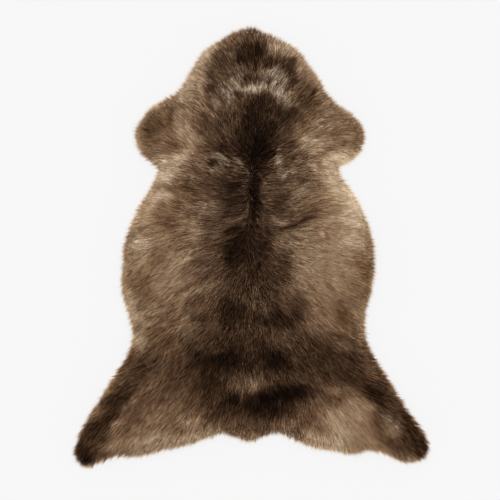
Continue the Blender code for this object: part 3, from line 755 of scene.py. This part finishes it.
# Strands for each tuft: their roots stand apart, and their points close up
def grow(name, tufts, spec, seed):
    chance = np.random.default_rng(seed)
    each = spec["strands"]
    places = np.repeat(tufts, each, axis=0)
    count = len(places)

    def perTuft(spread):
        return np.repeat(chance.normal(size=len(tufts)) * spread, each)

    def perStrand(spread):
        return chance.normal(size=count) * spread

    longer, unlike, _ = painted(places, (1.0, 1.0, 1.0), pile)
    longer = longer * (1 - spec["rimShorter"] * nearRim(places, spec["rimWidth"]))
    spot = np.column_stack([perStrand(1), perStrand(1)]) * spec["tuftWidth"] / 2
    roots = places + spot
    turn = unlike * np.radians(perTuft(spec["tuftTurn"]) + perStrand(spec["strandTurn"]))
    wave = unlike * np.radians(perTuft(spec["wave"]) + perStrand(spec["wave"] / 2))
    ways = turned(combed(places), turn)
    varied = 1 + perTuft(spec["tuftSpread"]) + perStrand(spec["strandSpread"])
    length = spec["length"] * longer * np.clip(varied, *spec["spreadRange"])
    bends = roots + ways * (length * spec["bend"])[:, None]
    laterWays = turned(combed(bends), turn + wave)
    ends = bends + laterWays * (length * (1 - spec["bend"]))[:, None] - spot * spec["closing"]

    # A strand that would reach too far past the rim is shorter
    reach = spec["rimReach"] + np.clip(perStrand(1), *spec["rimRange"]) * spec["rimSpread"]
    share = np.ones(count)
    for tried in np.linspace(*spec["shares"]):
        over = -read(insets, roots + (ends - roots) * share[:, None]) > reach
        share[over] = tried
    share = share[:, None]
    bends, ends = roots + (bends - roots) * share, roots + (ends - roots) * share

    radius = spec["width"] / 2 * np.clip(1 + perStrand(spec["widthSpread"]), *spec["widthRange"])
    lift = spec["lie"] + unlike * perTuft(spec["tuftLift"])
    rootZ = np.maximum(read(heights, roots) + lift - spec["depth"], spec["leastRoot"])
    bendZ = read(heights, bends) + lift - spec["sink"] + unlike * perStrand(spec["strandLift"])
    endZ = read(heights, ends) + lift + spec["rise"] + unlike * perStrand(spec["strandLift"])
    endZ = np.maximum(endZ, spec["leastTip"] + np.abs(perStrand(spec["tipSpread"])))
    keelZ = rootZ + spec["bend"] * (endZ - rootZ)
    bendZ = np.maximum(bendZ, keelZ + spec["leastKeel"])

    tuftTone = perTuft(spec["tuftTone"])
    unevenness = unlike * (tuftTone + np.clip(perStrand(spec["strandTone"]), *spec["toneRange"]))
    warmer = perTuft(spec["tuftWarmth"]) + perStrand(spec["strandWarmth"])
    # painted light: the points that stand past the rim are painted paler and warmer, as light through the
    # thin wool
    paintedBacklight = np.clip(-read(insets, ends) / spec["paintedBacklightWidth"], 0, 1)  # at the points that stand past the rim
    tone, warmth = coatAt(bends)
    tipTone, tipWarmth = coatAt(ends)
    tone = tone + swing(tone) * unevenness
    tipTone = tipTone + swing(tipTone) * unevenness
    tipTone = tipTone + spec["paintedBacklight"] * paintedBacklight * (spec["paintedBacklightTone"] - tipTone)
    points = {
        "tone": [np.clip(values, 0, 1) for values in (tone, tone, tipTone)],
        "warmth": [np.clip(values + warmer, 0, 1) for values in (warmth, warmth, tipWarmth + paintedBacklight)],
        "along": (0.0, spec["bend"], 1.0),
    }
    leans = np.column_stack([perStrand(spec["lean"]), perStrand(spec["lean"]), np.zeros(count)])
    mesh = strandMesh(name, np.column_stack([roots, rootZ]), np.column_stack([bends, bendZ]),
                      np.column_stack([ends, endZ]), radius, leans, spec, points)
    return newPiece(name, mesh, wool)


# The fleece: long wool combed flat, in layers from the skin outwards. Each layer spans the whole pelt.
fleece = {
    "pitch": 0.0051,  # between tufts, all layers together
    "jitter": 0.38,  # of the pitch
    "inset": 0.0015,
    "seed": 31,
    "layers": (
        # name, how high it lies from the pile's surface, seed
        ("fleece_inner", -0.0026, 40),
        ("fleece_lower", -0.0018, 41),
        ("fleece_middle", -0.0011, 42),
        ("fleece_upper", -0.0005, 43),
        ("fleece_outer", 0.0001, 44),
    ),
    "strand": {
        "strands": 11,  # in a tuft
        "tuftWidth": 0.0062,
        "closing": 0.12,  # of the tuft towards its point
        "length": 0.019,
        "tuftSpread": 0.14,  # of the length
        "strandSpread": 0.20,
        "spreadRange": (0.4, 1.6),
        "bend": 0.38,  # of the way along, where a strand is widest and turns
        "width": 0.0006,
        "widthSpread": 0.2,
        "widthRange": (0.5, 1.5),
        "depth": 0.0038,  # of the root
        "leastRoot": 0.0020,  # above the floor
        "leastKeel": 0.0003,
        "sink": 0.0007,  # of the bend
        "rise": 0.0008,  # of the tip
        "leastTip": 0.0006,  # above the floor
        "tipSpread": 0.0012,
        "tuftLift": 0.0004,
        "strandLift": 0.0004,
        "tuftTurn": 3.0,  # degrees
        "strandTurn": 3.5,
        "wave": 3.0,  # degrees of turn at the bend
        "lean": 0.12,  # of the way that light falls on it
        "roundness": 0.30,
        "tuftTone": 0.02,
        "strandTone": 0.24,
        "toneRange": (-0.6, 0.6),
        "tuftWarmth": 0.06,
        "strandWarmth": 0.08,
        "rimShorter": 0.25,
        "rimWidth": 0.018,
        "rimReach": 0.0050,  # past the rim
        "rimSpread": 0.0032,
        "rimRange": (-2, 2.5),  # times the spread
        "shares": (0.95, 0.15, 17),  # of its length, tried in turn on a strand that reaches too far
        # painted light: how much paler and warmer the points past the rim are painted, as light through the
        # thin wool
        "paintedBacklight": 0.3,  # at the points past the rim
        "paintedBacklightWidth": 0.006,
        "paintedBacklightTone": 0.80,
    },
}


def tuftPlaces():  # on a triangular lattice all over the pelt, each moved a little
    pitch, jitter = fleece["pitch"], fleece["jitter"]
    low, high = rim.min(axis=0), rim.max(axis=0)
    rowY = np.arange(low[1], high[1], pitch * math.sqrt(3) / 2)
    places = np.array([(x, y) for i, y in enumerate(rowY)
                       for x in np.arange(low[0] + i % 2 * pitch / 2, high[0], pitch)])
    chance = np.random.default_rng(fleece["seed"])
    places += chance.uniform(-jitter, jitter, places.shape) * pitch
    return places[read(insets, places) > fleece["inset"]]


def makeFleece():
    tufts = tuftPlaces()
    layers = fleece["layers"]
    made = []
    for i, (name, lie, seed) in enumerate(layers):
        made.append(grow(name, tufts[i::len(layers)], {**fleece["strand"], "lie": lie}, seed))
    return made


# The fringe: fine wool from the hide's very edge, which lies on the floor
fringe = {
    "pitch": 0.0019,  # along the rim
    "jitter": 0.4,  # of the pitch
    "inset": 0.0065,
    "insetRange": (0.3, 1.7),  # times the inset
    "seed": 51,
    "strandSeed": 52,
    # the fringe's points get more painted backlight than the fleece's
    "strand": {**fleece["strand"], "strands": 9, "length": 0.021, "width": 0.0005, "lie": -0.0035,
               "tuftWidth": 0.0036, "tuftSpread": 0.22, "rimShorter": 0.0, "rimReach": 0.0100,
               "rimSpread": 0.0038, "paintedBacklight": 0.8},
}


def makeFringe():
    closed = np.vstack([rim, rim[:1]])
    travelled = np.concatenate([[0], np.cumsum(np.linalg.norm(np.diff(closed, axis=0), axis=1))])
    pitch, jitter = fringe["pitch"], fringe["jitter"]
    chance = np.random.default_rng(fringe["seed"])
    wanted = np.arange(0, travelled[-1], pitch)
    wanted = wanted + chance.uniform(-jitter, jitter, len(wanted)) * pitch
    places = np.column_stack([np.interp(wanted, travelled, closed[:, k]) for k in (0, 1)])
    inward = readSlope(inwardSlope, places)
    inward /= np.linalg.norm(inward, axis=1)[:, None]
    places += inward * fringe["inset"] * chance.uniform(*fringe["insetRange"], len(places))[:, None]
    return grow("fringe", places, fringe["strand"], fringe["strandSeed"])


# The underfur: the short dense wool under the hair, which closes the gaps between the strands
underfur = {
    "joins": 0.00001,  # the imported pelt's corners nearer than this
    "cutBelow": 0.0020,  # so that its flat underside falls away
    "lower": 0.0046,  # than the pile's surface
    "leastHeight": 0.0030,
    "inset": 0.0050,  # at the rim, and less inwards over insetWidth
    "insetWidth": 0.020,
    "foot": 0.0018,
    # painted shade: the underfur is painted darker than the coat above it, as shade between the hairs
    "shade": 0.55,  # of the coat's tone above it
}


# Underwool: short, dense and crimped, seen between the hairs and painted darker than the coat as painted
# shade, so it looks dull, dark and slightly mottled. The crimp is drawn coarser than the real one of about
# 0.5 mm.
def underfurMaterial():
    material, tree = newMaterial("dense crimped underwool")
    crimp, lock = 0.0016, 0.008  # metres across one
    place = addNode(tree, "ShaderNodeTexCoord")
    tone, warmth = (addNode(tree, "ShaderNodeAttribute", attribute_name=label).outputs["Fac"]
                    for label in ("tone", "warmth"))
    mottle = addNode(tree, "ShaderNodeTexNoise", links={"Vector": place.outputs["Object"]},
                     values={"Scale": 1 / lock, "Detail": 3.0, "Roughness": 0.6})
    uneven = addNode(tree, "ShaderNodeMapRange", links={"Value": mottle.outputs[0]},
                     values={"From Min": 0.3, "From Max": 0.7, "To Min": 0.7, "To Max": 1.2})
    toned = addNode(tree, "ShaderNodeMath", operation="MULTIPLY", links={0: tone, 1: uneven.outputs[0]})
    colour = coatColour(tree, toned.outputs[0], warmth)
    fibre = addNode(tree, "ShaderNodeTexNoise", links={"Vector": place.outputs["Object"]},
                    values={"Scale": 1 / crimp, "Detail": 2.0, "Roughness": 0.5})
    bump = addNode(tree, "ShaderNodeBump", links={"Height": fibre.outputs[0]},
                   values={"Strength": 0.8, "Distance": 0.0008})
    shader = addNode(tree, "ShaderNodeBsdfPrincipled",
                     links={"Base Color": colour, "Normal": bump.outputs[0]},
                     values={"Roughness": 0.85, "IOR": 1.55, "Specular IOR Level": 0.05})
    addNode(tree, "ShaderNodeOutputMaterial", links={0: shader.outputs[0]})
    return material


def makeUnderfur():
    bm = bmesh.new()
    bm.from_mesh(pelt.data)
    bmesh.ops.remove_doubles(bm, verts=bm.verts, dist=underfur["joins"])
    low = [v for v in bm.verts if v.co.z < underfur["cutBelow"]]
    bmesh.ops.delete(bm, geom=low, context="VERTS")
    places = np.array([tuple(v.co.xy) for v in bm.verts])
    near = np.clip(1 - read(insets, places) / underfur["insetWidth"], 0, 1)[:, None]
    moved = places + readSlope(inwardSlope, places) * near * underfur["inset"]
    for vert, (x, y) in zip(bm.verts, moved):
        vert.co = (x, y, max(vert.co.z - underfur["lower"], underfur["leastHeight"]))
    ring = walkEdge(bm)
    foot = [bm.verts.new((v.co.x, v.co.y, underfur["foot"])) for v in ring]
    for i in range(len(ring)):
        j = (i + 1) % len(ring)
        bm.faces.new((ring[i], ring[j], foot[j], foot[i]))
    bm.faces.new(foot)
    bmesh.ops.recalc_face_normals(bm, faces=bm.faces)
    mesh = bpy.data.meshes.new("underfur")
    bm.to_mesh(mesh)
    bm.free()
    mesh.shade_smooth()
    tone, warmth = coatAt(np.array([tuple(v.co.xy) for v in mesh.vertices]))
    # painted shade: the coat's tone is darkened here, as shade between the hairs
    setValues(mesh, "tone", tone * underfur["shade"])
    setValues(mesh, "warmth", warmth)
    piece = newPiece("underfur", mesh, underfurMaterial())
    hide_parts("pelt")
    return piece


# The hide: one sheep's skin, tanned to a soft suede, cut along the roots of the wool
hide = {
    "thickness": 0.0015,
    "inset": 0.0080,
    "floorGap": 0.0001,
}


# Suede: alum-tanned skin with a brushed flesh side, so it is matt, cream to buff, with a fine nap and
# cloudy shading. The nap is drawn coarser than the real one of about 0.3 mm.
def suedeMaterial():
    material, tree = newMaterial("tanned suede")
    cloudWidth, napWidth = 0.090, 0.0012
    place = addNode(tree, "ShaderNodeTexCoord")
    cloud = addNode(tree, "ShaderNodeTexNoise", links={"Vector": place.outputs["Object"]},
                    values={"Scale": 1 / cloudWidth, "Detail": 4.0, "Roughness": 0.6})
    colour = addNode(tree, "ShaderNodeValToRGB", links={0: cloud.outputs[0]}, stops=(
        (0.30, "#C4AC8A"), (0.70, "#DCC8A8")))
    nap = addNode(tree, "ShaderNodeTexNoise", links={"Vector": place.outputs["Object"]},
                  values={"Scale": 1 / napWidth, "Detail": 2.0, "Roughness": 0.6})
    bump = addNode(tree, "ShaderNodeBump", links={"Height": nap.outputs[0]},
                   values={"Strength": 0.5, "Distance": 0.0003})
    shader = addNode(tree, "ShaderNodeBsdfPrincipled",
                     links={"Base Color": colour.outputs[0], "Normal": bump.outputs[0]},
                     values={"Roughness": 0.9, "IOR": 1.5, "Sheen Weight": 0.2})
    addNode(tree, "ShaderNodeOutputMaterial", links={0: shader.outputs[0]})
    return material


def makeHide():
    inward = readSlope(inwardSlope, rim)
    inward /= np.linalg.norm(inward, axis=1)[:, None]
    edge = rim + inward * hide["inset"]
    count = len(edge)
    lowZ, highZ = hide["floorGap"], hide["floorGap"] + hide["thickness"]
    places = [(x, y, lowZ) for x, y in edge] + [(x, y, highZ) for x, y in edge]
    faces = [(i, (i + 1) % count, count + (i + 1) % count, count + i) for i in range(count)]
    faces += [tuple(reversed(range(count))), tuple(range(count, 2 * count))]
    mesh = bpy.data.meshes.new("hide")
    mesh.from_pydata(places, [], faces)
    piece = newPiece("hide", mesh, suedeMaterial())


# The studio: a pale floor lit from below like a light table, an even white surround and one large soft
# lamp from the head end
studio = {
    "floorSize": 12.0,
    "floorColour": "#6E6E6E",
    "floorGlow": 0.605,
    "surround": 1.50,
    "lamp": 2.10,
    "lampAngle": 40.0,  # degrees across, so that its shadows are soft
    "lampHeight": 62.0,  # degrees above the floor
}
photo = {
    "width": 1.139,  # metres of floor across the picture
    "lens": 100.0,
    "sensor": 36.0,
    "middle": (-0.0023, -0.0046),
    "farthest": 100.0,
}


def makeStudio():
    half = studio["floorSize"] / 2
    corners = [(-half, -half, 0), (half, -half, 0), (half, half, 0), (-half, half, 0)]
    mesh = bpy.data.meshes.new("floor")
    mesh.from_pydata(corners, [], [(0, 1, 2, 3)])
    material, tree = newMaterial("opal acrylic")
    shader = addNode(tree, "ShaderNodeBsdfPrincipled", values={
        "Base Color": toLinear(studio["floorColour"]), "Roughness": 0.9, "Specular IOR Level": 0.1,
        "Emission Color": (1.0, 1.0, 1.0, 1.0), "Emission Strength": studio["floorGlow"]})
    addNode(tree, "ShaderNodeOutputMaterial", links={0: shader.outputs[0]})
    mesh.materials.append(material)
    floor = bpy.data.objects.new("floor", mesh)
    bpy.context.scene.collection.objects.link(floor)

    world = bpy.data.worlds.new("surround")
    world.use_nodes = True
    world.node_tree.nodes.clear()
    sky = addNode(world.node_tree, "ShaderNodeBackground", values={
        "Color": (1.0, 1.0, 1.0, 1.0), "Strength": studio["surround"]})
    addNode(world.node_tree, "ShaderNodeOutputWorld", links={0: sky.outputs[0]})
    bpy.context.scene.world = world

    data = bpy.data.lights.new("soft lamp", "SUN")
    data.energy = studio["lamp"]
    data.angle = math.radians(studio["lampAngle"])
    lamp = bpy.data.objects.new("soft lamp", data)
    lamp.rotation_euler = (-math.radians(90 - studio["lampHeight"]), 0, 0)
    bpy.context.scene.collection.objects.link(lamp)

    cameraData = bpy.data.cameras.new("camera")
    cameraData.lens = photo["lens"]
    cameraData.sensor_width = photo["sensor"]
    cameraData.clip_end = photo["farthest"]
    camera = bpy.data.objects.new("camera", cameraData)
    camera.location = (*photo["middle"], photo["width"] * photo["lens"] / photo["sensor"])
    bpy.context.scene.collection.objects.link(camera)
    bpy.context.scene.camera = camera
    bpy.context.scene.view_settings.view_transform = "Standard"
    print("made the studio")


makeStudio()
wools = [makeUnderfur(), *makeFleece(), makeFringe()]
makeHide()
